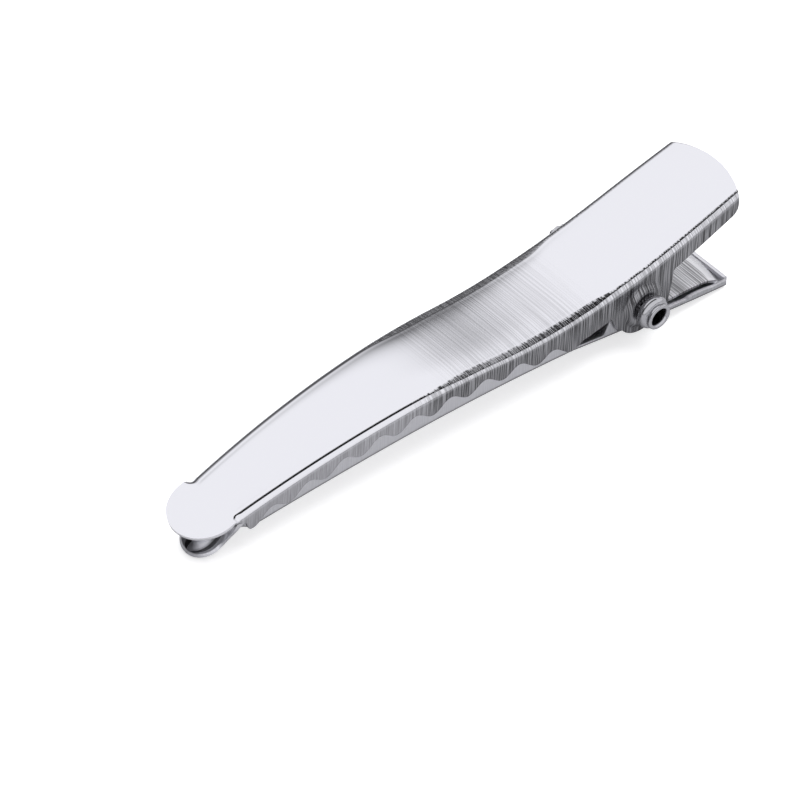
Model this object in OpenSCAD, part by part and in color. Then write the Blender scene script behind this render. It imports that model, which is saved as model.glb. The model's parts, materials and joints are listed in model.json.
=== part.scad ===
// Alligator hair clip: two stamped sheet-steel jaws, nested and hinged on a tubular rivet,
// held shut by a leaf spring between the handles. Drawn closed, lying on a table.
//
// Every piece is drawn in the pivot's frame: origin on the pivot axis, +X towards the handles,
// -X towards the tip, +Y along the pivot, +Z up. on_table() then lays the clip down.

/* [Lengths] */
// Pivot axis to the end of the upper tongue
jaw_l = 60.8; // [54:0.1:68]
// Pivot axis to the middle of the upper handle's end
handle_l = 15.7; // [13:0.1:19]
// How far the upper handle's end bulges past its corners
handle_sag = 1.6; // [0.8:0.1:2.2]
// Tongue's middle to the front end of the flanges
neck_back = 2.3; // [2:0.1:3]
// How much shorter the lower jaw is than the upper tongue
spoon_inset = 1.2; // [0.5:0.1:3]
// How much shorter the lower handle is than the upper one
low_handle_inset = 2.2; // [1:0.1:4]

/* [Widths] */
// Width of the upper jaw at the pivot, over its flanges
pivot_w = 12; // [10:0.1:13.5]
// Width of the upper jaw where the flanges start, behind the tongue
neck_w = 8; // [7:0.1:9]
// Width of the upper handle at its end corners
handle_w = 11.4; // [9.6:0.1:12.6]
// Radius of the upper tongue
tongue_r = 4.1; // [3.7:0.05:4.6]
// Radius of the lower spoon
spoon_r = 2.7; // [2.4:0.05:3.1]
// Gap between the lower jaw's wall and the upper flange, on each side
side_gap = 0.15; // [0.1:0.01:0.25]

/* [Sheet] */
// Thickness of the sheet steel of both jaws
sheet_t = 0.4; // [0.35:0.01:0.5]

/* [Upper jaw profile] */
// Height of the arch's top over the pivot axis
arch_top = 5.35; // [4.8:0.05:6.2]
// Distance of the arch's top from the pivot
arch_x = 33; // [28:0.5:38]
// Radius of the arch behind its top
arch_r = 90; // [80:1:130]
// Fall of the arch from its top to the tongue's end
arch_fall = 3.4; // [3:0.02:4.6]
// Distance from the pivot where the arch turns into the bend
bend_x = 20; // [16:0.5:24]
// Radius of the bend in front of the pivot
bend_r = 60; // [50:1:80]
// Radius of the handle's upward sweep
sweep_r = 85; // [75:1:110]
// Distance behind the pivot where the handle runs straight
straight_x = 5; // [4:0.1:7]
// Depth of the handle's flanges at its end
handle_flange = 2.3; // [1.8:0.1:3]
// Depth of the handle's flanges over the pivot
root_flange = 3.1; // [2.6:0.1:3.4]
// Radius of the corner at the end of each flange
corner_r = 1; // [0.4:0.1:1.6]

/* [Lower jaw profile] */
// Height of the underside's highest point over the pivot axis
low_top = 0.55; // [0.2:0.05:0.8]
// Distance of that point from the pivot
low_x = 36; // [32:0.5:42]
// Radius of the lower jaw's arch behind that point
low_r = 175; // [150:1:240]
// Fall of the lower jaw's arch from that point to the spoon's middle
low_arch_fall = 0.9; // [0.6:0.05:1.4]
// Distance from the pivot where the lower jaw runs straight
low_straight_x = 12; // [11:0.5:18]
// Distance in front of the pivot where the lower handle bends down
low_bend_x = 9.5; // [6:0.1:11]
// Fall of the lower handle, in mm for each mm of length
low_fall = 0.22; // [0.16:0.01:0.26]
// Height of the lower handle's side rims, over its underside
rim_h = 1; // [0.8:0.05:1.4]
// Height of the lower handle's end lip, over its underside
lip_h = 1; // [0.8:0.05:1.6]
// Depth of the spoon below its rim
spoon_depth = 1.2; // [1:0.05:1.4]
// Height of the spoon's rim over the underside that leads to it
spoon_rim = 0.3; // [0.2:0.05:0.5]
// Angle by which the spoon and the end of the floor slope down to the tip
spoon_tilt = 25; // [20:1:30]
// Distance from the spoon's edge back to where the floor bends down
spoon_lead = 0.3; // [0.1:0.1:0.8]
// How far the floor and walls run into the spoon
spoon_lap = 0.7; // [0.5:0.1:1]
// Height of the low web between the teeth and the ear, over the underside
web_h = 0.7; // [0.5:0.05:0.9]
// Length of the slope from the web up to the ear
web_lead = 1.1; // [0.5:0.1:1.6]

/* [Teeth] */
// Distance from tooth to tooth
pitch = 4.79; // [4:0.01:5]
// Last tooth's distance from the pivot
last_tooth = 10.3; // [9.5:0.1:12]
// Depth of the teeth
tooth_h = 1.2; // [0.8:0.05:1.5]
// Height of the highest tooth tips over the pivot axis
tip_top = 2.6; // [2.2:0.05:2.8]
// Their distance from the pivot
tip_x = 34.5; // [31:0.5:38]
// Radius of the arched line of tooth tips
tip_r = 96.5; // [88:0.5:120]
// How far the lower teeth reach up past the upper ones
tooth_lap = 0.9; // [0.5:0.05:1.2]

/* [Pivot] */
// Outer radius of the pin
pin_r = 1.42; // [1.2:0.01:1.6]
// Wall of the pin's tube
tube_wall = 0.38; // [0.3:0.01:0.6]
// Radial clearance of the pin in the lower ears, where it turns
turn_gap = 0.05; // [0.03:0.01:0.08]
// Radial clearance of the pin in the upper ears, where its heads hold it
staked_gap = 0.02; // [0.01:0.01:0.04]
// Metal around the hole in the lower ears
low_ear_wall = 1.45; // [1.2:0.05:1.7]
// How far the lower ears widen in front, level with the pin
low_ear_lead = 1.3; // [0.8:0.05:1.6]
// How far the upper ears reach out past the lower ones
ear_lap = 0.6; // [0.4:0.05:0.9]
// How far the upper ears widen in front, up to the flanges
ear_lead = 1.2; // [0.6:0.05:1.6]
// How far the upper ears' rear tabs reach out past the ears
ear_tab = 0.95; // [0.5:0.05:1.4]
// Height of the bosses pressed out around the upper holes
boss_h = 0.6; // [0.4:0.05:0.8]
// Width of a boss's flat top around the pin
boss_top_w = 0.68; // [0.5:0.02:0.9]
// Width of a boss's slope
boss_slope_w = 0.8; // [0.5:0.05:1]
// Width of the groove between boss and rivet head
groove_w = 0.25; // [0.2:0.05:0.6]
// How far the rolled bead of the rivet's head stands out from the pin
bead_out = 0.53; // [0.4:0.01:0.7]
// Length of the bead
bead_w = 1.25; // [1:0.05:1.6]
// How far the ring beyond the bead stands out from the pin
ring_out = 0.12; // [0.08:0.01:0.3]
// Length of that ring
ring_w = 0.6; // [0.5:0.05:1.4]
// Length of the plain crimped end on the other side
crimp_w = 1.1; // [0.8:0.1:2.4]
// How far the crimped end flares out
crimp_flare = 0.25; // [0.1:0.05:0.4]

/* [Spring] */
// Thickness of the spring
spring_t = 0.35; // [0.25:0.01:0.4]
// Gap between the spring's side and the lower jaw's wall
spring_side_gap = 0.6; // [0.4:0.05:1.4]
// Gap between the spring's end and the lower handle's lip
spring_end_gap = 0.4; // [0.3:0.1:4]
// How far the spring's ends bulge past their corners
spring_sag = 0.6; // [0.3:0.1:2]
// Clearance of the spring to the sheet that it bears on
spring_gap = 0.08; // [0.05:0.01:0.12]

/* [Hidden] */
$fn = 64;
step = 2;            // spacing of the points along the gentle curves
wave = 8;            // points along each tooth
deep = 30;           // more than any height or width of the clip

tongue_x = jaw_l - tongue_r;
neck_x = tongue_x - neck_back;
end_x = handle_l - handle_sag;
spoon_x = jaw_l - spoon_inset - spoon_r;
floor_end_x = spoon_x - spoon_r + spoon_lap;
spoon_bend_x = spoon_x - spoon_r - spoon_lead;
low_end_x = handle_l - low_handle_inset;
ear_face = pivot_w / 2;

notch_x = last_tooth - pitch / 2;

arch_front_r = pow(jaw_l - arch_x, 2) / (2 * arch_fall);
low_front_r = pow(spoon_x - low_x, 2) / (2 * low_arch_fall);
ball_r = (pow(spoon_r, 2) + pow(spoon_depth, 2)) / (2 * spoon_depth);

low_ear_r = pin_r + turn_gap + low_ear_wall;
ear_r = low_ear_r + ear_lap;
boss_top_r = pin_r + boss_top_w;
boss_foot_r = boss_top_r + boss_slope_w;

// Height after a stretch of constant curvature, and the slope there
function bow(z, slope, run, curve) = z + slope * run + curve * run * run / 2;

// Upper jaw's top surface: the arch, the bend, the sweep and the straight handle, end to end
bend_z = arch_top - pow(arch_x - bend_x, 2) / (2 * arch_r);
bend_slope = -(arch_x - bend_x) / arch_r;
sweep_x = bend_x + bend_slope * bend_r;
sweep_z = bow(bend_z, bend_slope, bend_x - sweep_x, 1 / bend_r);
straight_z = bow(sweep_z, 0, sweep_x + straight_x, 1 / sweep_r);
straight_slope = (sweep_x + straight_x) / sweep_r;
function top_z(x) =
    x < -arch_x ? arch_top - pow(x + arch_x, 2) / (2 * arch_front_r) :
    x < -bend_x ? arch_top - pow(x + arch_x, 2) / (2 * arch_r) :
    x < -sweep_x ? bow(bend_z, bend_slope, x + bend_x, 1 / bend_r) :
    x < straight_x ? bow(sweep_z, 0, x + sweep_x, 1 / sweep_r) :
    bow(straight_z, straight_slope, x - straight_x, 0);

// Lower jaw's underside: the slope to the spoon, the arch, a short straight run and the falling
// handle, which starts in front of the pivot
low_slope = -(low_x - low_straight_x) / low_r;
low_straight_z = low_top - pow(low_x - low_straight_x, 2) / (2 * low_r);
low_bend_z = bow(low_straight_z, low_slope, low_straight_x - low_bend_x, 0);
spoon_bend_z = low_top - pow(spoon_bend_x - low_x, 2) / (2 * low_front_r);
function low_z(x) =
    x < -spoon_bend_x ? bow(spoon_bend_z, tan(spoon_tilt), x + spoon_bend_x, 0) :
    x < -low_x ? low_top - pow(x + low_x, 2) / (2 * low_front_r) :
    x < -low_straight_x ? low_top - pow(x + low_x, 2) / (2 * low_r) :
    x < -low_bend_x ? bow(low_straight_z, low_slope, x + low_straight_x, 0) :
    bow(low_bend_z, -low_fall, x + low_bend_x, 0);

// Half the upper jaw's width: widest at the pivot, with a parabola to each end
function half_w(x) = pivot_w / 2 - (x < 0 ?
    (pivot_w - neck_w) / 2 * pow(x / neck_x, 2) :
    (pivot_w - handle_w) / 2 * pow(x / end_x, 2));
function low_half_w(x) = half_w(x) - sheet_t - side_gap;
spring_half_w = low_half_w(0) - sheet_t - spring_side_gap;

// Line of tooth tips, and the wave of teeth above it
function tip_z(x) = tip_top - pow(x + tip_x, 2) / (2 * tip_r);
function tooth_z(x) = tip_z(x) + tooth_h * (1 - cos(360 * (x + last_tooth) / pitch)) / 2;

// Places along X from a to b, evenly spaced no wider than the given step
function places(a, b, s = step) = let (n = ceil((b - a) / s)) [for (i = [0 : n]) a + (b - a) * i / n];
function back(list) = [for (i = [len(list) - 1 : -1 : 0]) list[i]];
// A bulging end across the clip, from +Y to -Y, whose corners are at x and half a width out
function bulge(x, half, sag) = [for (k = [-1 : 0.25 : 1]) [x + sag * (1 - k * k), -k * half]];

// Rest on the table: the spoon's ball and the lower handle's end both touch it
spoon_rim_z = low_z(-spoon_x) + spoon_rim / cos(spoon_tilt);
ball_x = -spoon_x - (ball_r - spoon_depth) * sin(spoon_tilt);
ball_z = spoon_rim_z + (ball_r - spoon_depth) * cos(spoon_tilt);
low_end_z = low_z(low_end_x);
ball_gap = norm([low_end_x - ball_x, low_end_z - ball_z]);
table_tilt = atan2(low_end_z - ball_z, low_end_x - ball_x) + asin(ball_r / ball_gap);
tip_reach = -jaw_l * cos(table_tilt) + top_z(-jaw_l) * sin(table_tilt);
end_reach = handle_l * cos(table_tilt) + top_z(handle_l) * sin(table_tilt);
pivot_x = -(tip_reach + end_reach) / 2;
pivot_z = low_end_x * sin(table_tilt) - low_end_z * cos(table_tilt);
echo(pivot = [pivot_x, 0, pivot_z], tilt = table_tilt);

module on_table() {
    translate([pivot_x, 0, pivot_z]) rotate([0, table_tilt, 0]) children();
}

// A side view carried across the clip, and a plan carried up through it
module across() {
    rotate([90, 0, 0]) linear_extrude(deep, center = true) children();
}
module upright() {
    linear_extrude(deep, center = true) children();
}

// The plan of both side walls, between two half widths
module wall_plan(xs, inset) {
    for (s = [-1, 1])
        polygon(concat(
            [for (x = xs) [x, s * (half_w(x) - inset)]],
            [for (x = back(xs)) [x, s * (half_w(x) - inset - sheet_t)]]));
}

// A cylinder along the pivot axis from y0 to y1, with its two radii
module pivot_rod(y0, y1, r0, r1) {
    translate([0, y0, 0]) rotate([-90, 0, 0]) cylinder(h = y1 - y0, r1 = r0, r2 = r1);
}

// Upper jaw, seen from the side: flanges with teeth, the ears and the handle's shallow flanges
function handle_edge(x) = top_z(x) - root_flange - (handle_flange - root_flange) * x / end_x;
module upper_side() {
    xs = places(-neck_x, end_x);
    teeth_x = places(-neck_x, -notch_x, pitch / wave);
    polygon(concat(
        [for (x = teeth_x) [x, tooth_z(x)]],
        [[0, tooth_z(-notch_x) + tooth_h], [0, handle_edge(0)]],
        [for (a = [-90 : 15 : 0]) [end_x, handle_edge(end_x)] + corner_r * [cos(a) - 1, sin(a) + 1]],
        [for (x = back(xs)) [x, top_z(x)]]));
    circle(ear_r);
    polygon([[-ear_r - ear_lead, ear_r / 2], [-ear_r, -ear_r / 2], [0, -ear_r / 2], [0, ear_r / 2]]);
    polygon([[0, top_z(0) - sheet_t], [ear_r + ear_tab, handle_edge(ear_r + ear_tab) + sheet_t],
        [ear_r, -ear_r / 2], [0, -ear_r / 2]]);
    translate([ear_r / 2, -ear_r / 2]) circle(ear_r / 2);
}

module upper_plan() {
    xs = places(-neck_x, end_x);
    polygon(concat([for (x = xs) [x, half_w(x)]], bulge(end_x, half_w(end_x), handle_sag),
        [for (x = back(xs)) [x, -half_w(x)]]));
    polygon([[-tongue_x, tongue_r], [-neck_x, neck_w / 2], [-neck_x, -neck_w / 2], [-tongue_x, -tongue_r]]);
    translate([-tongue_x, 0]) circle(tongue_r);
}

module upper_jaw() {
    plate_x = places(-jaw_l - step, handle_l + step);
    walls_x = places(-neck_x, end_x, 4 * step);
    color("silver") on_table() difference() {
        union() {
            intersection() {
                across() polygon(concat(
                    [for (x = plate_x) [x, top_z(x)]],
                    [for (x = back(plate_x)) [x, top_z(x) - sheet_t]]));
                upright() upper_plan();
            }
            intersection() {
                across() upper_side();
                upright() wall_plan(walls_x, 0);
            }
            pivot_rod(ear_face - sheet_t / 2, ear_face + boss_h, boss_foot_r, boss_top_r);
            pivot_rod(-ear_face - boss_h, -ear_face + sheet_t / 2, boss_top_r, boss_foot_r);
        }
        pivot_rod(-deep, deep, pin_r + staked_gap, pin_r + staked_gap);
    }
}

// Lower jaw, seen from the side: toothed walls, a low web, the ears and the handle's side rims
module lower_side() {
    teeth_x = places(-spoon_bend_x, -last_tooth, pitch / wave);
    floor_x = places(-spoon_bend_x, low_end_x);
    web_start = -last_tooth + pitch / 4;
    ear_start = -low_ear_r - low_ear_lead;
    web_end = ear_start - web_lead;
    rim_start = low_ear_r + web_lead;
    polygon(concat(
        [for (x = teeth_x) [x, tooth_z(x) + tooth_lap]],
        [[web_start, low_z(web_start) + web_h], [web_end, low_z(web_end) + web_h]],
        [[ear_start, 0], [low_ear_r, 0]],
        [[rim_start, low_z(rim_start) + rim_h], [low_end_x, low_end_z + rim_h]],
        [for (x = back(floor_x)) [x, low_z(x)]]));
    circle(low_ear_r);
}

module lower_plan() {
    xs = places(-spoon_bend_x, low_end_x, 2 * step);
    end_half = sqrt(pow(spoon_r, 2) - pow(spoon_r - spoon_lap, 2));
    polygon(concat([for (x = xs) [x, low_half_w(x)]], [for (x = back(xs)) [x, -low_half_w(x)]],
        [[-floor_end_x, -end_half], [-floor_end_x, end_half]]));
}

// The round bowl of the spoon, cut from a ball, with its rim at the origin's height
module bowl() {
    translate([0, 0, ball_r - spoon_depth]) difference() {
        sphere(ball_r);
        sphere(ball_r - sheet_t);
        translate([-deep, -deep, spoon_depth - ball_r]) cube([2 * deep, 2 * deep, deep]);
    }
}

module lower_jaw() {
    floor_x = places(-jaw_l, low_end_x);
    walls_x = places(-spoon_bend_x, low_end_x, 4 * step);
    color("lightgray") on_table() {
        difference() {
            union() {
                intersection() {
                    across() polygon(concat(
                        [for (x = floor_x) [x, low_z(x) + sheet_t]],
                        [for (x = back(floor_x)) [x, low_z(x)]]));
                    upright() lower_plan();
                }
                intersection() {
                    across() lower_side();
                    upright() wall_plan(walls_x, sheet_t + side_gap);
                }
                intersection() {
                    across() translate([low_end_x - sheet_t, low_end_z]) square([sheet_t, lip_h]);
                    upright() lower_plan();
                }
                translate([-spoon_x, 0, spoon_rim_z]) rotate([0, -spoon_tilt, 0]) bowl();
            }
            pivot_rod(-deep, deep, pin_r + turn_gap, pin_r + turn_gap);
        }
    }
}

// Tubular rivet: a bead and a ring on one side, a plain crimped end on the other
module pivot_pin() {
    groove_y = ear_face + boss_h + groove_w;
    bead_end = groove_y + bead_w;
    head_end = bead_end + ring_w;
    tail_end = groove_y + crimp_w;
    color("gainsboro") on_table() difference() {
        union() {
            pivot_rod(-head_end, tail_end, pin_r, pin_r);
            pivot_rod(-bead_end, -groove_y, pin_r + bead_out, pin_r + bead_out);
            pivot_rod(-head_end, -bead_end, pin_r + ring_out, pin_r + ring_out);
            pivot_rod(groove_y, tail_end, pin_r, pin_r + crimp_flare);
        }
        pivot_rod(-deep, deep, pin_r - tube_wall, pin_r - tube_wall);
    }
}

// Leaf spring: a leg on the lower handle's floor, a half turn in front of the pin, a leg under
// the upper handle's plate
module spring() {
    leg_l = low_end_x - sheet_t - spring_end_gap;
    leg_x = places(0, leg_l, step);
    skin = sheet_t + spring_gap;
    loop_r = (top_z(0) - low_z(0)) / 2 - skin;
    loop_z = (top_z(0) + low_z(0)) / 2;
    function low_leg(off) = [for (x = leg_x) [x, low_z(x) + off]];
    function top_leg(off) = [for (x = leg_x) [x, top_z(x) - off]];
    function turn(r) = [for (a = [90 : 15 : 270]) [r * cos(a), loop_z + r * sin(a)]];
    color("darkgray") on_table() intersection() {
        across() polygon(concat(
            back(top_leg(skin)), turn(loop_r), low_leg(skin),
            back(low_leg(skin + spring_t)), back(turn(loop_r - spring_t)), top_leg(skin + spring_t)));
        upright() polygon(concat(
            [[-deep, spring_half_w]], bulge(leg_l - spring_sag, spring_half_w, spring_sag),
            [[-deep, -spring_half_w]]));
    }
}

lower_jaw();
upper_jaw();
pivot_pin();
spring();
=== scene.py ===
"""Alligator hair clip: two stamped, nickel-plated jaws, nested and hinged on a tubular rivet,
held shut by a leaf spring between the handles."""
import json
import bpy
import numpy as np
from mathutils import Matrix, Vector


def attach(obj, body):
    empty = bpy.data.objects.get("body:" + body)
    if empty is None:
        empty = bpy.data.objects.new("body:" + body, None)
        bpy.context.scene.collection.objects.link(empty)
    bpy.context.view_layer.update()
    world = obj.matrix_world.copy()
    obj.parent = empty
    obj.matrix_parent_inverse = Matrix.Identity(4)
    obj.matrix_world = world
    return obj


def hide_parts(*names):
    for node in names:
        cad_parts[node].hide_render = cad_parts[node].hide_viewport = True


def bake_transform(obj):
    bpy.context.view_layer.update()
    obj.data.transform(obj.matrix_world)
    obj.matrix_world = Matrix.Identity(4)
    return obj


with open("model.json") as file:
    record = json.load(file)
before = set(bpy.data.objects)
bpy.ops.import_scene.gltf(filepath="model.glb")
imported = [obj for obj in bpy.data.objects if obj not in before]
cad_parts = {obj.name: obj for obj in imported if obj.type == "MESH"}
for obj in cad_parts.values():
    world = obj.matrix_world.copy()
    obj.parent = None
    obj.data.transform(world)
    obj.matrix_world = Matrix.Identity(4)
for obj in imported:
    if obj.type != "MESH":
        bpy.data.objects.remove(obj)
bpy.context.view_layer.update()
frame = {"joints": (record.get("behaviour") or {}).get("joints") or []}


# ---------------------------------------------------------------------------------------------
# Camera. A long lens, far off, looks down on the near flange from the tip's end of the clip, so
# that the clip runs from the lower left corner up to the upper right.

CAMERA_AZIMUTH = 43.7        # degrees, turned from +Y towards +X
CAMERA_ELEVATION = 42.9      # degrees above the table
CAMERA_ROLL = 3.18           # degrees
CAMERA_DISTANCE = 1.223
CAMERA_LENS = 520.0
CAMERA_AIM = Vector((-0.00736, -0.00078, 0.00572))

azimuth, elevation = np.radians(CAMERA_AZIMUTH), np.radians(CAMERA_ELEVATION)
ahead = Vector((np.sin(azimuth) * np.cos(elevation), np.cos(azimuth) * np.cos(elevation),
                -np.sin(elevation)))
camera = bpy.data.objects.new("camera", bpy.data.cameras.new("camera"))
bpy.context.scene.collection.objects.link(camera)
camera.data.lens = CAMERA_LENS
camera.data.sensor_width = 36.0
camera.data.clip_start = 0.1
camera.data.clip_end = 20.0
camera.location = CAMERA_AIM - CAMERA_DISTANCE * ahead
level = ahead.to_track_quat("-Z", "Y").to_matrix()
camera.rotation_euler = (level @ Matrix.Rotation(np.radians(CAMERA_ROLL), 3, "Z")).to_euler()
bpy.context.scene.camera = camera


# ---------------------------------------------------------------------------------------------
# Table and studio. A plain white table that the plating sees as a dark mat, an even lamp above
# for the table, and a room of soft boxes and dark cards, which plated metal needs for its shape.

class Nodes:
    """Adds shader nodes to a tree and links them, one short call for each."""

    def __init__(self, tree):
        self.tree = tree

    def add(self, kind, inputs=None, **settings):
        """A node with its settings, whose inputs are linked from sockets or set to values."""
        node = self.tree.nodes.new("ShaderNode" + kind)
        for key, value in settings.items():
            setattr(node, key, value)
        for key, value in (inputs or {}).items():
            if isinstance(value, bpy.types.NodeSocket):
                self.tree.links.new(value, node.inputs[key])
            else:
                node.inputs[key].default_value = value
        return node

    def math(self, operation, a, b=0.0, c=0.0):
        """One step of arithmetic."""
        return self.add("Math", {0: a, 1: b, 2: c}, operation=operation).outputs[0]

    def smooth(self, value, low, high, to_low=0.0, to_high=1.0):
        """A smooth step from to_low at low to to_high at high."""
        return self.add("MapRange", {0: value, 1: low, 2: high, 3: to_low, 4: to_high},
                        interpolation_type="SMOOTHSTEP").outputs[0]

    def mix(self, factor, a, b):
        """Colour a where the factor is 0 and b where it is 1."""
        node = self.add("Mix", {0: factor}, data_type="RGBA")
        for socket, value in ((node.inputs[6], a), (node.inputs[7], b)):
            if isinstance(value, bpy.types.NodeSocket):
                self.tree.links.new(value, socket)
            else:
                socket.default_value = (*value, 1.0)
        return node.outputs[2]


def stage_sheet(name, size, height, colour, glow):
    """A level square of one matt colour, lightened by a glow of its own."""
    half = size / 2
    mesh = bpy.data.meshes.new(name)
    mesh.from_pydata([(-half, -half, height), (half, -half, height), (half, half, height),
                      (-half, half, height)], [], [(0, 1, 2, 3)])
    material = bpy.data.materials.new(name)
    material.use_nodes = True
    shader = material.node_tree.nodes["Principled BSDF"]
    shader.inputs["Base Color"].default_value = (*colour, 1.0)
    shader.inputs["Roughness"].default_value = 0.9
    shader.inputs["Specular IOR Level"].default_value = 0.0
    shader.inputs["Emission Color"].default_value = (1.0, 1.0, 1.0, 1.0)
    shader.inputs["Emission Strength"].default_value = glow
    mesh.materials.append(material)
    sheet = bpy.data.objects.new(name, mesh)
    bpy.context.scene.collection.objects.link(sheet)
    return sheet


table = stage_sheet("table", 6.0, -0.00005, (0.62, 0.62, 0.62), 0.6)
table.visible_glossy = False
mat = stage_sheet("mat", 6.0, -0.00004, (0.38, 0.38, 0.39), 0.0)
mat.visible_camera = False
mat.visible_diffuse = False
mat.visible_shadow = False

lamp = bpy.data.lights.new("table_lamp", "AREA")
lamp.shape = "DISK"
lamp.size = 1.6
lamp.energy = 26.0
lamp_object = bpy.data.objects.new("table_lamp", lamp)
lamp_object.location = (0.1, 0.1, 1.4)
lamp_object.visible_glossy = False
lamp_object.visible_camera = False
bpy.context.scene.collection.objects.link(lamp_object)

room = bpy.data.worlds.new("studio")
bpy.context.scene.world = room
room.use_nodes = True
nodes = Nodes(room.node_tree)
toward = nodes.add("TexCoord").outputs["Generated"]
axes = nodes.add("SeparateXYZ", {0: toward})
out_x, out_y, up = axes.outputs
# Far side: white high up, falling to dark at the horizon. Near side: a white box. Between them a
# narrow dark card, which draws the crease along the near edge of the clip.
far_box = nodes.smooth(up, 0.44, 0.73, 0.08, 1.0)
far_light = nodes.math("MULTIPLY", far_box, nodes.smooth(out_y, 0.20, 0.24))
near_box = nodes.math("MULTIPLY", nodes.smooth(up, 0.02, 0.10), nodes.smooth(out_y, -0.07, -0.12))
light = nodes.math("ADD", far_light, nodes.math("MULTIPLY", near_box, 0.95))
end_box = nodes.math("MULTIPLY", nodes.smooth(out_x, 0.62, 0.75), nodes.smooth(up, 0.0, 0.08))
light = nodes.math("ADD", light, nodes.math("MULTIPLY_ADD", end_box, 0.8, 0.02))
to_camera = nodes.add("LightPath").outputs["Is Camera Ray"]
shade = nodes.mix(light, (0.0, 0.0, 0.0), (0.97, 0.97, 1.0))
room.node_tree.links.new(nodes.mix(to_camera, shade, (0.92, 0.92, 0.93)),
                         room.node_tree.nodes["Background"].inputs["Color"])
bpy.context.scene.view_settings.view_transform = "Standard"


# ---------------------------------------------------------------------------------------------
# Lower jaw. A narrow channel stamped from nickel-plated sheet: a floor with toothed side walls,
# a round dished spoon at the tip, and a handle with low side rims and a turned-up end lip.
# Sizes are in millimetres in the pivot's frame: +X to the handles, +Y along the pin, +Z up.

SHEET = 0.4
PIVOT_W, NECK_W, HANDLE_W = 12.0, 8.0, 11.4
NECK_X, HANDLE_X = 54.4, 14.1
SIDE_GAP = 0.15
LOW_TOP, LOW_X, LOW_R, LOW_ARCH_FALL = 0.55, 36.0, 175.0, 0.9
LOW_STRAIGHT_X, LOW_BEND_X, LOW_FALL = 12.0, 9.5, 0.22
LIP_H, WEB_H, WEB_LEAD = 1.0, 0.7, 1.1
SPOON_X, SPOON_R, SPOON_DEPTH, SPOON_RIM = 56.9, 2.7, 1.2, 0.3
SPOON_TILT, SPOON_BEND_X = np.radians(25), 53.9
LOW_END_X = 13.5
PIN_R = 1.42
TURN_GAP, STAKED_GAP = 0.05, 0.02
LOW_EAR_R, LOW_EAR_LEAD = 2.92, 1.3
PITCH, LAST_TOOTH, TOOTH_H, TOOTH_LAP = 4.79, 10.3, 1.2, 0.9
TIP_TOP, TIP_X, TIP_R = 2.6, 34.5, 96.5
RIM_H, RIM_END_H = 0.8, 0.2
ROLLED_H, ROLLED_START_X, ROLLED_X, ROLLED_HALF_L = 0.25, 7.0, 9.0, 2.4
FIRST_TURN = 0.14            # share of a fold, about 13 of its 90 degrees
HOLE_BLOCK, HOLE_GIVE = 5, 1.6


def step(value, low, high):
    """A smooth step: 0 up to low, 1 from high on, 3t^2 - 2t^3 between."""
    t = np.clip((value - low) / (high - low), 0, 1)
    return t * t * (3 - 2 * t)


def low_z(x):
    """Underside: the slope to the spoon, an arch of two radii, a short straight run, then the
    falling handle."""
    front_r = (SPOON_X - LOW_X) ** 2 / (2 * LOW_ARCH_FALL)
    spoon_bend = LOW_TOP - (SPOON_BEND_X - LOW_X) ** 2 / (2 * front_r)
    slope = -(LOW_X - LOW_STRAIGHT_X) / LOW_R
    start = LOW_TOP - (LOW_X - LOW_STRAIGHT_X) ** 2 / (2 * LOW_R)
    bend = start + slope * (LOW_STRAIGHT_X - LOW_BEND_X)
    to_spoon = spoon_bend + np.tan(SPOON_TILT) * (x + SPOON_BEND_X)
    arch = LOW_TOP - (x + LOW_X) ** 2 / np.where(x < -LOW_X, 2 * front_r, 2 * LOW_R)
    run = start + slope * (x + LOW_STRAIGHT_X)
    fall = bend - LOW_FALL * (x + LOW_BEND_X)
    return np.select([x < -SPOON_BEND_X, x < -LOW_STRAIGHT_X, x < -LOW_BEND_X],
                     [to_spoon, arch, run], fall)


def half_w(x):
    """Half the upper jaw's width: widest at the pivot, a parabola to the neck and to the end."""
    front = (PIVOT_W - NECK_W) / 2 * (x / NECK_X) ** 2
    rear = (PIVOT_W - HANDLE_W) / 2 * (x / HANDLE_X) ** 2
    return PIVOT_W / 2 - np.where(x < 0, front, rear)


def tooth_z(x):
    """The wave of the teeth, standing on the arched line of their tips."""
    line = TIP_TOP - (x + TIP_X) ** 2 / (2 * TIP_R)
    return line + TOOTH_H * (1 - np.cos(2 * np.pi * (x + LAST_TOOTH) / PITCH)) / 2


BALL_R = (SPOON_R ** 2 + SPOON_DEPTH ** 2) / (2 * SPOON_DEPTH)
spoon_rim_z = float(low_z(-SPOON_X)) + SPOON_RIM / np.cos(SPOON_TILT)
to_end = np.array([LOW_END_X + SPOON_X, float(low_z(LOW_END_X)) - spoon_rim_z])
to_end += (BALL_R - SPOON_DEPTH) * np.array([np.sin(SPOON_TILT), -np.cos(SPOON_TILT)])
TABLE_TILT = np.arctan2(to_end[1], to_end[0]) + np.arcsin(BALL_R / np.hypot(*to_end))
PIVOT = np.array(frame["joints"][0]["pos_m"])


def on_table(points):
    """Millimetres in the pivot's frame to metres on the table: tilted, then moved to the pivot."""
    x, y, z = np.moveaxis(points, -1, 0)
    c, s = np.cos(TABLE_TILT), np.sin(TABLE_TILT)
    return np.stack([x * c + z * s, y, z * c - x * s], axis=-1) * 0.001 + PIVOT


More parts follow.
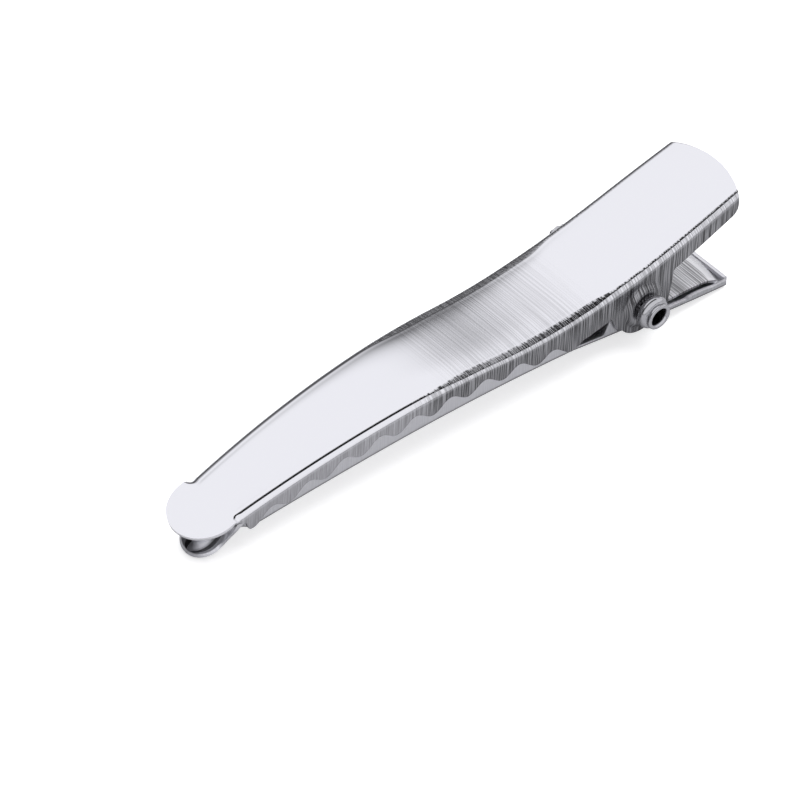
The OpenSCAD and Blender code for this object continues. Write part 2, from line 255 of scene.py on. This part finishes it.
def grid_piece(name, points, keep=None, across=None):
    """A mesh of quads over a grid of points, without the quads that keep leaves out. across, if
    given, becomes a point attribute of that name."""
    rows, columns = points.shape[:2]
    index = np.arange(rows * columns).reshape(rows, columns)
    quads = np.stack([index[:-1, :-1], index[1:, :-1], index[1:, 1:], index[:-1, 1:]], axis=-1)
    quads = quads[keep] if keep is not None else quads.reshape(-1, 4)
    used, faces = np.unique(quads, return_inverse=True)
    mesh = bpy.data.meshes.new(name)
    places = on_table(points).reshape(-1, 3)[used]
    mesh.from_pydata(places.tolist(), [], faces.reshape(-1, 4).tolist())
    if across is not None:
        layer = mesh.attributes.new("across", "FLOAT", "POINT")
        layer.data.foreach_set("value", across.reshape(-1)[used].astype(np.float32))
    mesh.shade_smooth()
    piece = bpy.data.objects.new(name, mesh)
    bpy.context.scene.collection.objects.link(piece)
    return piece


def sheet_metal(piece, thickness, edge):
    """Gives a surface the sheet's thickness behind it, and breaks its cut edges."""
    solid = piece.modifiers.new("sheet", "SOLIDIFY")
    solid.thickness = thickness * 0.001
    solid.offset = -1.0
    solid.use_even_offset = False
    bevel = piece.modifiers.new("edges", "BEVEL")
    bevel.width = edge * 0.001
    bevel.segments = 2
    bevel.limit_method = "ANGLE"
    bevel.angle_limit = np.radians(50)
    piece.modifiers.new("flats", "WEIGHTED_NORMAL").keep_sharp = True


def folded(half, fold_l, angle, wall_l, linger, columns):
    """Half sections of a folded sheet, from the middle outwards: flat, then a fold of length
    fold_l that turns by angle, then a straight wall. Where linger is over 0 the fold holds its
    first 13 degrees for that share of its length. Returns how far out and how far down each point
    lies, and its place across: 0 to 1 over the flat, to 2 over the fold, to 3 on the wall."""
    flat_n, fold_n, wall_n = columns
    half, fold_l, angle, wall_l, linger = [
        np.asarray(v)[:, None] for v in (half, fold_l, angle, wall_l, linger)]
    t = np.linspace(0, 1, fold_n + 1)[None, :]
    middle = (t[:, :-1] + t[:, 1:]) / 2
    held = np.clip((middle - FIRST_TURN - linger) / (1 - FIRST_TURN - linger), 0, 1)
    turn = angle * np.where(middle < FIRST_TURN, middle, FIRST_TURN + (1 - FIRST_TURN) * held)
    fold_out = np.cumsum(np.cos(turn) * fold_l / fold_n, axis=1)
    fold_down = np.cumsum(np.sin(turn) * fold_l / fold_n, axis=1)
    wall_out, wall_down = wall_l * np.cos(angle), wall_l * np.sin(angle)
    flat_l = half - fold_out[:, -1:] - wall_out
    flat_t = np.linspace(0, 1, flat_n + 1)[None, :]
    wall_t = np.linspace(0, 1, wall_n + 1)[None, 1:]
    out = np.concatenate([flat_l * flat_t, flat_l + fold_out,
                          flat_l + fold_out[:, -1:] + wall_out * wall_t], axis=1)
    down = np.concatenate([0 * flat_l * flat_t, fold_down,
                           fold_down[:, -1:] + wall_down * wall_t], axis=1)
    across = np.concatenate([flat_t, 1 + t[:, 1:], 2 + wall_t], axis=1) + 0 * out
    return out, down, across


def both_sides(array, sign=1.0):
    """A half section's array mirrored to the other side, as one row from -Y to +Y."""
    return np.concatenate([sign * array[:, :0:-1], array], axis=1)


def pierce(points, row, column, radius):
    """Opens a round hole about the pivot's axis: the lattice points of a square block about
    (row, column) move out to the hole's edge, and those around it give way, less and less."""
    i = (np.arange(points.shape[0]) - row)[:, None] / HOLE_BLOCK
    j = (np.arange(points.shape[1]) - column)[None, :] / HOLE_BLOCK
    ring = np.maximum(np.abs(i), np.abs(j))
    reach = np.hypot(points[..., 0], points[..., 2])
    t = np.clip((ring - 1) / HOLE_GIVE, 0, 1)
    moved = (radius + (reach - radius) * t) / np.maximum(reach, 1e-6)
    scale = np.where(ring < 1 + HOLE_GIVE, moved, 1.0)
    points[..., 0] *= scale
    points[..., 2] *= scale
    inside = ring < 1 - 1e-6
    return inside[:-1, :-1] | inside[1:, :-1] | inside[:-1, 1:] | inside[1:, 1:]


def lower_wall_top(x):
    """Edge of the lower wall: the teeth, a low web, the ear, which widens in front, and the
    handle's rims, which stand a little higher where their edge is rolled."""
    teeth = tooth_z(x) + TOOTH_LAP
    web = low_z(x) + WEB_H
    crest = (1 - ((x - ROLLED_X) / ROLLED_HALF_L) ** 2).clip(0, 1)
    rolled = ROLLED_H * step(x, ROLLED_START_X, ROLLED_START_X + 0.3) * crest
    rim = low_z(x) + RIM_H + rolled + RIM_END_H * step(x, 10.5, 13.0)
    to_web = step(x, -LAST_TOOTH + 0.1, -LAST_TOOTH + 1.5)
    top = np.where(x > 0, rim, teeth + (web - teeth) * to_web)
    ear_start = -LOW_EAR_R - LOW_EAR_LEAD
    lead_start, lead_end = ear_start - WEB_LEAD, LOW_EAR_R + WEB_LEAD
    lead = np.interp(x, [lead_start, ear_start, LOW_EAR_R, lead_end], [-2.0, 0.0, 0.0, -4.6])
    ear = np.sqrt(np.maximum(LOW_EAR_R ** 2 - x ** 2, 0.0)) + lead
    return np.where((x > lead_start) & (x < lead_end), np.maximum(ear, top), top)


LOW_FOLD = 0.5
spoon_sin, spoon_cos = np.sin(SPOON_TILT), np.cos(SPOON_TILT)
spoon_angles = np.linspace(np.radians(88), 0, 22)
lower_x = np.concatenate([-SPOON_X - SPOON_R * spoon_cos * np.sin(spoon_angles[:-1]),
                          np.arange(-SPOON_X, LOW_END_X - LOW_FOLD, 0.18), [LOW_END_X - LOW_FOLD]])
channel_half = half_w(np.maximum(lower_x, -NECK_X)) - SHEET - SIDE_GAP
full_wall = lower_wall_top(lower_x) - low_z(lower_x) - LOW_FOLD
wall_l = full_wall * step(lower_x, -SPOON_BEND_X - 1.6, -SPOON_BEND_X + 0.4)
quarter = 0 * lower_x + np.pi / 2
out, down, across = folded(channel_half, quarter * LOW_FOLD, quarter, wall_l.clip(0.02, None),
                           0 * lower_x, (10, 6, 26))
along = ((lower_x + SPOON_X) / spoon_cos / SPOON_R)[:, None]
k = np.clip(across / 3, 0, 1) ** 0.9
round_end = np.sqrt(np.clip(1 - np.minimum(along, 0) ** 2, 0, 1))
from_middle = np.minimum(np.hypot(along, round_end * k), 1) * SPOON_R
dish = np.sqrt(BALL_R ** 2 - from_middle ** 2) - BALL_R + SPOON_DEPTH
join = step(lower_x, -SPOON_X + 1.4, -SPOON_BEND_X + 0.9)[:, None]
bowl_z = spoon_rim_z + np.tan(SPOON_TILT) * (lower_x + SPOON_X)[:, None] - dish * spoon_cos
out = SPOON_R * round_end * k * (1 - join) + out * join
z = bowl_z * (1 - join) + (low_z(lower_x)[:, None] + down) * join
x = lower_x[:, None] + dish * spoon_sin * (1 - join)
lip_turn = np.linspace(0, np.pi / 2, 7)[1:, None]
lip_rise = np.linspace(0, LIP_H - LOW_FOLD, 6)[1:, None]
lip_x = np.concatenate([LOW_END_X - LOW_FOLD * (1 - np.sin(lip_turn)), LOW_END_X + 0 * lip_rise])
lip_z = np.concatenate([LOW_FOLD * (1 - np.cos(lip_turn)), LOW_FOLD + lip_rise]) + low_z(lip_x)
rows = len(lower_x)
x = np.concatenate([x, lip_x + 0 * out[-1:]])
out = np.concatenate([out, out[-1:] + 0 * lip_x])
z = np.concatenate([z, lip_z + 0 * out[-1:]])
across = np.concatenate([across, across[-1:] + 0 * lip_x])
lower_points = np.stack([both_sides(x), both_sides(out, -1.0), both_sides(z)], axis=-1)
lower_across = both_sides(across)
holes = np.zeros((lower_points.shape[0] - 1, lower_points.shape[1] - 1), bool)
pivot_row = int(np.argmin(np.abs(lower_x)))
for side in (-1, 1):
    wall = (lower_across[pivot_row] >= 2) & (np.sign(lower_points[pivot_row, :, 1]) == side)
    column = int(np.argmin(np.where(wall, np.abs(lower_points[pivot_row, :, 2]), 99.0)))
    holes |= pierce(lower_points, pivot_row, column, PIN_R + TURN_GAP)
past_end = (np.arange(lower_points.shape[0] - 1) >= rows - 1)[:, None]
on_floor = (np.maximum(lower_across[0, :-1], lower_across[0, 1:]) <= 1.0)[None, :]
kept = ~holes & (on_floor | ~past_end)
lower = grid_piece("lower_jaw_sheet", lower_points[:, ::-1], kept[:, ::-1], lower_across[:, ::-1])
sheet_metal(lower, SHEET, 0.05)


NOWHERE = (0.5, 0.6)         # metres along the clip, far past its end


def plated(name, colour, rough, streaks_and_shade, lined, line_depth, shade_span, under):
    """Bright nickel plate over drawn steel. Between the ends of lined, in metres along the clip,
    fine lines run across the flat sheet. By the fourth argument the walls get die streak marks and
    painted shade, standing in for the dark surroundings that they reflect; between the ends of the
    seventh, also in metres, that painted shade is darkest and the folds get wrinkles, darkened with
    painted shade. Both are noise stretched far along one axis. The last argument paints shade into
    the folds."""
    material = bpy.data.materials.new(name)
    material.use_nodes = True
    nodes = Nodes(material.node_tree)
    shader = material.node_tree.nodes["Principled BSDF"]
    shader.inputs["Metallic"].default_value = 1.0
    place = nodes.add("TexCoord").outputs["Object"]
    x = nodes.add("SeparateXYZ", {0: place}).outputs[0]
    zone = nodes.add("Attribute", attribute_name="across").outputs["Fac"]
    on_wall = nodes.smooth(zone, 1.55, 2.0)
    on_fold = nodes.math("MULTIPLY", nodes.smooth(zone, 1.12, 1.3), nodes.smooth(zone, 1.9, 1.6))

    def stretch(scale, detail):
        at = nodes.add("Mapping", {0: place, "Scale": scale}).outputs[0]
        return nodes.add("TexNoise", {"Vector": at, "Scale": 1.0, "Detail": detail}).outputs[0]

    def between(ends, soft):
        return nodes.math("MULTIPLY", nodes.smooth(x, ends[0] - soft, ends[0] + soft),
                          nodes.smooth(x, ends[1] + soft, ends[1] - soft))

    lines = nodes.smooth(stretch((4200.0, 40.0, 0.0), 2.0), 0.36, 0.64)
    marks = nodes.smooth(stretch((7000.0, 0.0, 160.0), 3.0), 0.36, 0.62)
    bent = nodes.math("MULTIPLY", between(lined, 0.003), nodes.smooth(zone, 1.3, 0.95))
    # Painted shade and reflection: the walls are darkened, most between the span's ends, standing in
    # for the dark surroundings they reflect, with die streak marks in it.
    shade_strength = nodes.math("MULTIPLY_ADD", between(shade_span, 0.004), 0.4, 0.6)
    dark = nodes.math("MULTIPLY", nodes.math("MULTIPLY", on_wall, shade_strength), streaks_and_shade)
    base = nodes.mix(nodes.math("MULTIPLY", nodes.math("MULTIPLY", bent, lines), line_depth), colour,
                     tuple(0.3 * c for c in colour))
    base = nodes.mix(nodes.math("MULTIPLY", dark, nodes.math("MULTIPLY_ADD", marks, 0.45, 0.5)), base,
                     tuple(0.05 * c for c in colour))
    # Painted shade in the wrinkles of the folds, between the span's ends; the same mask also raises
    # their bump below.
    wrinkles_and_shade = nodes.math("MULTIPLY", nodes.math("MULTIPLY", on_fold, between(shade_span, 0.003)), marks)
    base = nodes.mix(nodes.math("MULTIPLY", wrinkles_and_shade, 0.6 * streaks_and_shade), base,
                     tuple(0.2 * c for c in colour))
    # Painted shade in the folds: they are darkened towards a tenth of the colour, by the last
    # argument.
    fold_shade_mask = nodes.math("MULTIPLY", nodes.smooth(zone, 0.95, 1.2), nodes.smooth(zone, 2.1, 1.8))
    base = nodes.mix(nodes.math("MULTIPLY", fold_shade_mask, under), base, tuple(0.1 * c for c in colour))
    nodes.tree.links.new(base, shader.inputs["Base Color"])
    patches = nodes.add("TexNoise", {"Vector": place, "Scale": 90.0, "Detail": 3.0}).outputs[0]
    gloss = nodes.math("MULTIPLY_ADD", patches, 0.06, rough)
    gloss = nodes.math("ADD", gloss, nodes.math("MULTIPLY", bent, 0.12))
    gloss = nodes.math("ADD", gloss, nodes.math("MULTIPLY", on_wall, 0.10))
    nodes.tree.links.new(gloss, shader.inputs["Roughness"])
    relief = nodes.math("ADD", nodes.math("MULTIPLY", lines, nodes.math("MULTIPLY", bent, line_depth)),
                        nodes.math("MULTIPLY", marks, nodes.math("ADD", dark, wrinkles_and_shade)))
    bump = nodes.add("Bump", {"Height": relief, "Strength": 0.5, "Distance": 0.00003})
    nodes.tree.links.new(bump.outputs[0], shader.inputs["Normal"])
    return material


# Its walls get some painted shade with their streak marks, and its folds painted shade.
lower.data.materials.append(plated(
    "lower_nickel", colour=(0.84, 0.84, 0.87), rough=0.26, streaks_and_shade=0.3, lined=NOWHERE,
    line_depth=0.0, shade_span=(0.013, 0.040), under=0.9))
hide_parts("lower_jaw")
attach(lower, "lower_lever")


# ---------------------------------------------------------------------------------------------
# Upper jaw. A wider channel stamped from the same sheet, open downwards: a top plate with rolled
# edges, toothed flanges, two ears for the rivet, a flat round tongue and the upper handle.

ARCH_TOP, ARCH_X, ARCH_R, ARCH_FALL = 5.35, 33.0, 90.0, 3.4
BEND_X, BEND_R, SWEEP_R, STRAIGHT_X = 20.0, 60.0, 85.0, 5.0
ROLL_R = 0.8
CROWN = 0.16
TONGUE_R, JAW_L, HANDLE_SAG = 4.1, 60.8, 1.6
TONGUE_X = JAW_L - TONGUE_R
HANDLE_FLANGE, ROOT_FLANGE, CORNER_R = 2.3, 3.1, 1.0
EAR_R, EAR_LEAD, EAR_TAB = 3.52, 1.2, 0.95
BOSS_H, BOSS_FOOT_R, BOSS_TOP_R = 0.6, 2.9, 2.1


def top_z(x):
    """Top of the plate: an arch of two radii, the bend in front of the pivot, the sweep up and
    the straight handle, end to end."""
    front_r = (JAW_L - ARCH_X) ** 2 / (2 * ARCH_FALL)
    bend_z = ARCH_TOP - (ARCH_X - BEND_X) ** 2 / (2 * ARCH_R)
    slope = -(ARCH_X - BEND_X) / ARCH_R
    sweep_x = BEND_X + slope * BEND_R
    run = BEND_X - sweep_x
    sweep_z = bend_z + slope * run + run * run / (2 * BEND_R)
    reach = sweep_x + STRAIGHT_X
    straight_z = sweep_z + reach * reach / (2 * SWEEP_R)
    arch = ARCH_TOP - (x + ARCH_X) ** 2 / np.where(x < -ARCH_X, 2 * front_r, 2 * ARCH_R)
    bend = bend_z + slope * (x + BEND_X) + (x + BEND_X) ** 2 / (2 * BEND_R)
    sweep = sweep_z + (x + sweep_x) ** 2 / (2 * SWEEP_R)
    straight = straight_z + reach / SWEEP_R * (x - STRAIGHT_X)
    return np.select([x < -BEND_X, x < -sweep_x, x < STRAIGHT_X], [arch, bend, sweep], straight)


def flange_edge(x):
    """Bottom edge of the flange: the teeth, a straight notch, the ear, and the handle's flange
    with its rounded corner."""
    notch = -(LAST_TOOTH - PITCH / 2)
    rise = tooth_z(np.array(notch)) + TOOTH_H * (x - notch) / -notch
    handle = top_z(x) - ROOT_FLANGE + (ROOT_FLANGE - HANDLE_FLANGE) * np.clip(x / HANDLE_X, 0, 1)
    past = np.clip(x - HANDLE_X + CORNER_R, 0, CORNER_R)
    handle = handle + CORNER_R - np.sqrt(CORNER_R ** 2 - past ** 2)
    edge = np.select([x < notch, x < 0], [tooth_z(x), rise], handle)
    disc = -np.sqrt(np.maximum(EAR_R ** 2 - x ** 2, 0))
    lead = np.interp(x, [-EAR_R - EAR_LEAD, -EAR_R, 0.0], [EAR_R / 2, -EAR_R / 2, -EAR_R / 2])
    front = np.where(x > -EAR_R, np.minimum(lead, disc), np.minimum(lead, edge))
    rear = np.where(x > EAR_R * 0.75, -EAR_R * 0.7, disc)
    rear = rear + (handle - rear) * np.clip((x - EAR_R + 0.3) / (EAR_TAB + 0.3), 0, 1) ** 1.5
    ear = np.where(x < 0, front, np.minimum(rear, handle))
    return np.where((x > -EAR_R - EAR_LEAD) & (x < EAR_R + EAR_TAB), ear, edge)


tongue_angles = np.linspace(np.radians(88), 0, 26)
upper_x = np.concatenate([-TONGUE_X - TONGUE_R * np.sin(tongue_angles[:-1]),
                          np.arange(-TONGUE_X, -4.2, 0.2), np.arange(-4.2, 5.2, 0.16),
                          np.arange(5.2, HANDLE_X - 0.9, 0.25),
                          HANDLE_X - 0.9 * np.cos(np.linspace(0, np.pi / 2, 10))])
round_end = np.sqrt(np.clip(1 - (np.minimum(upper_x + TONGUE_X, 0) / TONGUE_R) ** 2, 0, 1))
tongue_half = TONGUE_R * round_end
neck = step(upper_x, -TONGUE_X, -NECK_X)
outline = tongue_half + (half_w(np.maximum(upper_x, -NECK_X)) - tongue_half) * neck
flange = step(upper_x, -NECK_X - 0.1, -NECK_X + 0.4)
folding = step(upper_x, -NECK_X - 1.8, -NECK_X - 0.1)
linger = 0.1 + 0.3 * step(upper_x, -31.0, -24.0) * (1 - step(upper_x, -7.0, -3.0))
fold_l = 0.5 * round_end + (ROLL_R * np.pi / 2 * (1 + 1.1 * linger) - 0.5 * round_end) * folding
angle = np.pi / 2 * folding
depth = np.maximum(top_z(upper_x) - ROLL_R * (1 + 0.5 * linger) - flange_edge(upper_x), 0.05)
wall_l = 0.4 * round_end + (depth - 0.4 * round_end) * flange
out, down, across = folded(outline, fold_l, angle, wall_l, linger, (14, 16, 34))
k = np.clip(out / outline[:, None], 0, 1)
flat_k = np.clip(across, 0, 1)
x = upper_x[:, None] + HANDLE_SAG * (1 - k ** 2) * step(upper_x, 3.0, HANDLE_X)[:, None]
z = top_z(x) - down - CROWN * flat_k ** 4 * folding[:, None] + CROWN * 0.3
upper_points = np.stack([both_sides(x), both_sides(out, -1.0), both_sides(z)], axis=-1)
past_flat = (across - 1).clip(0, None) * (angle / (np.pi / 2))[:, None]
upper_across = both_sides(np.minimum(across, 1) + past_flat)
holes = np.zeros((upper_points.shape[0] - 1, upper_points.shape[1] - 1), bool)
pivot_row = int(np.argmin(np.abs(upper_x)))
for side in (-1, 1):
    wall = (upper_across[pivot_row] >= 2) & (np.sign(upper_points[pivot_row, :, 1]) == side)
    column = int(np.argmin(np.where(wall, np.abs(upper_points[pivot_row, :, 2]), 99.0)))
    holes |= pierce(upper_points, pivot_row, column, PIN_R + STAKED_GAP)
rho = np.hypot(upper_points[..., 0], upper_points[..., 2])
boss = BOSS_H * step(-rho, -BOSS_FOOT_R, -BOSS_TOP_R) * (upper_across > 2)
upper_points[..., 1] += np.sign(upper_points[..., 1]) * boss
upper = grid_piece("upper_jaw_sheet", upper_points, ~holes, upper_across)
sheet_metal(upper, SHEET, 0.05)
# Its walls get the full painted shade with their streak marks, darkest between the span's ends.
upper.data.materials.append(plated(
    "upper_nickel", colour=(0.86, 0.86, 0.89), rough=0.06, streaks_and_shade=1.0, lined=(-0.003, 0.0145),
    line_depth=0.3, shade_span=(-0.008, 0.060), under=0.0))
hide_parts("upper_jaw")
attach(upper, "upper_lever")


# ---------------------------------------------------------------------------------------------
# Pivot pin. A plated tubular rivet: on one side a rolled bead and a ring, on the other the plain
# tube, crimped and split a little at its end, which keeps it in the bosses.

TUBE_WALL = 0.38
GROOVE_W, BEAD_OUT, BEAD_W, RING_OUT, RING_W = 0.25, 0.53, 1.25, 0.12, 0.6
CRIMP_W, CRIMP_FLARE = 1.1, 0.25

groove_y = PIVOT_W / 2 + BOSS_H + GROOVE_W
bead_end = groove_y + BEAD_W
head_end = bead_end + RING_W
tail_end = groove_y + CRIMP_W


def half_round(start, end, low, high, count):
    """A bulge from start to end along the pin, a half ellipse from radius low up to high."""
    a = np.linspace(0, np.pi, count)
    along_pin = (start + end) / 2 - (end - start) / 2 * np.cos(a)
    return np.stack([along_pin, low + (high - low) * np.sin(a)], axis=1)


bore_r = PIN_R - TUBE_WALL
lip = half_round(-head_end + 0.02, -head_end + 0.3, PIN_R + RING_OUT - 0.12, PIN_R + RING_OUT, 7)
profile = np.concatenate([
    [[tail_end - 0.15, bore_r + 0.08], [6.0, bore_r], [0.0, bore_r], [-head_end + 0.5, bore_r]],
    [[-head_end + 0.12, bore_r + 0.05], [-head_end, bore_r + 0.18]],
    [[-head_end, PIN_R + RING_OUT - 0.2]],
    lip[:4], [[-bead_end - 0.1, PIN_R + RING_OUT], [-bead_end - 0.02, PIN_R + 0.06]],
    half_round(-bead_end, -groove_y, PIN_R + 0.05, PIN_R + BEAD_OUT, 15),
    [[-groove_y + 0.02, PIN_R], [-PIVOT_W / 2, PIN_R], [0.0, PIN_R], [PIVOT_W / 2, PIN_R]],
    [[groove_y, PIN_R], [groove_y + 0.05, PIN_R + 0.05], [tail_end - 0.5, PIN_R + 0.12]],
    [[tail_end - 0.12, PIN_R + CRIMP_FLARE], [tail_end, PIN_R + CRIMP_FLARE - 0.08]],
    [[tail_end - 0.02, PIN_R - 0.1]]])
turn = np.linspace(0, 2 * np.pi, 97)
pin_y, pin_r = profile[:, 0][:, None], profile[:, 1][:, None]
at_tail = step(pin_y, tail_end - 0.9, tail_end)
ragged = 0.09 * np.sin(5 * turn + 0.7) + 0.06 * np.sin(11 * turn)
pin_y = pin_y - at_tail * (0.12 + ragged).clip(0, None)[None, :]
split = np.exp(-((turn - 4.1) / 0.07) ** 2) * 0.22
pin_r = pin_r + at_tail * (0.05 * np.sin(4 * turn + 2) - split)[None, :] + 0 * pin_y
pin_points = np.stack([pin_r * np.cos(turn), pin_y, pin_r * np.sin(turn)], axis=-1)
pin_points = np.concatenate([pin_points, pin_points[:1]])
pin = grid_piece("pivot_pin_tube", pin_points)
weld = pin.modifiers.new("seam", "WELD")
weld.merge_threshold = 1e-6
pin.modifiers.new("flats", "WEIGHTED_NORMAL").keep_sharp = True
# The rivet's nickel is set much darker than the jaws' nickel: painted shade for the dark surroundings
# that it reflects.
pin.data.materials.append(plated(
    "rivet_nickel_painted_dark", colour=(0.55, 0.55, 0.57), rough=0.12, streaks_and_shade=0.0, lined=NOWHERE,
    line_depth=0.0, shade_span=NOWHERE, under=0.0))
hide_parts("pivot_pin")
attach(pin, "upper_lever")


# ---------------------------------------------------------------------------------------------
# Spring. A strip of brushed spring steel bent round in front of the pin, with a leg along the
# lower handle's floor and one under the upper handle. Its rounded ends curl to the sheet.

SPRING_T, SPRING_HALF_W, SPRING_GAP = 0.35, 4.45, 0.08
LEG_L, SPRING_SAG, LIFT, CURL_L = 12.7, 0.6, 0.55, 1.6

leg_end = LEG_L - SPRING_SAG
leg_x = np.linspace(0, leg_end, 34)
rise = SHEET + SPRING_GAP
arc = np.linspace(np.pi / 2, 3 * np.pi / 2, 30)[1:-1]
loop_z = float(top_z(np.array(0.0)) + low_z(np.array(0.0))) / 2
loop_r = float(top_z(np.array(0.0)) - low_z(np.array(0.0))) / 2 - rise
curl_x = leg_end - CURL_L
curl = LIFT * step(leg_x, 2.0, curl_x) * (1 - ((leg_x - curl_x) / CURL_L).clip(0, None) ** 1.4)
path_x = np.concatenate([leg_x[::-1], loop_r * np.cos(arc), leg_x])
path_z = np.concatenate([(top_z(leg_x) - rise - curl)[::-1], loop_z + loop_r * np.sin(arc),
                         low_z(leg_x) + rise + curl])
side = np.linspace(-1, 1, 17)
bulge = SPRING_SAG * (1 - side[None, :] ** 2) * step(path_x, leg_end - 4, leg_end)[:, None]
spring_points = np.stack([path_x[:, None] + bulge, SPRING_HALF_W * side[None, :] + 0 * bulge,
                          path_z[:, None] + 0 * bulge], axis=-1)
# Painted highlight: the last millimetre or so of each leg is left bright and smooth, without the dark
# brushing lines, for the bright crescent at the spring's end.
painted_highlight_end = 1.5 * step(path_x, leg_end - 1.4, leg_end - 1.1)[:, None] + 0 * bulge
spring = grid_piece("leaf_spring", spring_points[:, ::-1], None, painted_highlight_end)
sheet_metal(spring, SPRING_T, 0.05)
# The brushing lines darken the legs at full depth: real grain, and also painted shade for the dark
# that the legs reflect beneath the upper handle.
spring.data.materials.append(plated(
    "spring_brushed", colour=(0.88, 0.88, 0.90), rough=0.24, streaks_and_shade=0.0, lined=(0.0, 0.05),
    line_depth=1.0, shade_span=NOWHERE, under=0.0))
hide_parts("spring")
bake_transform(spring)
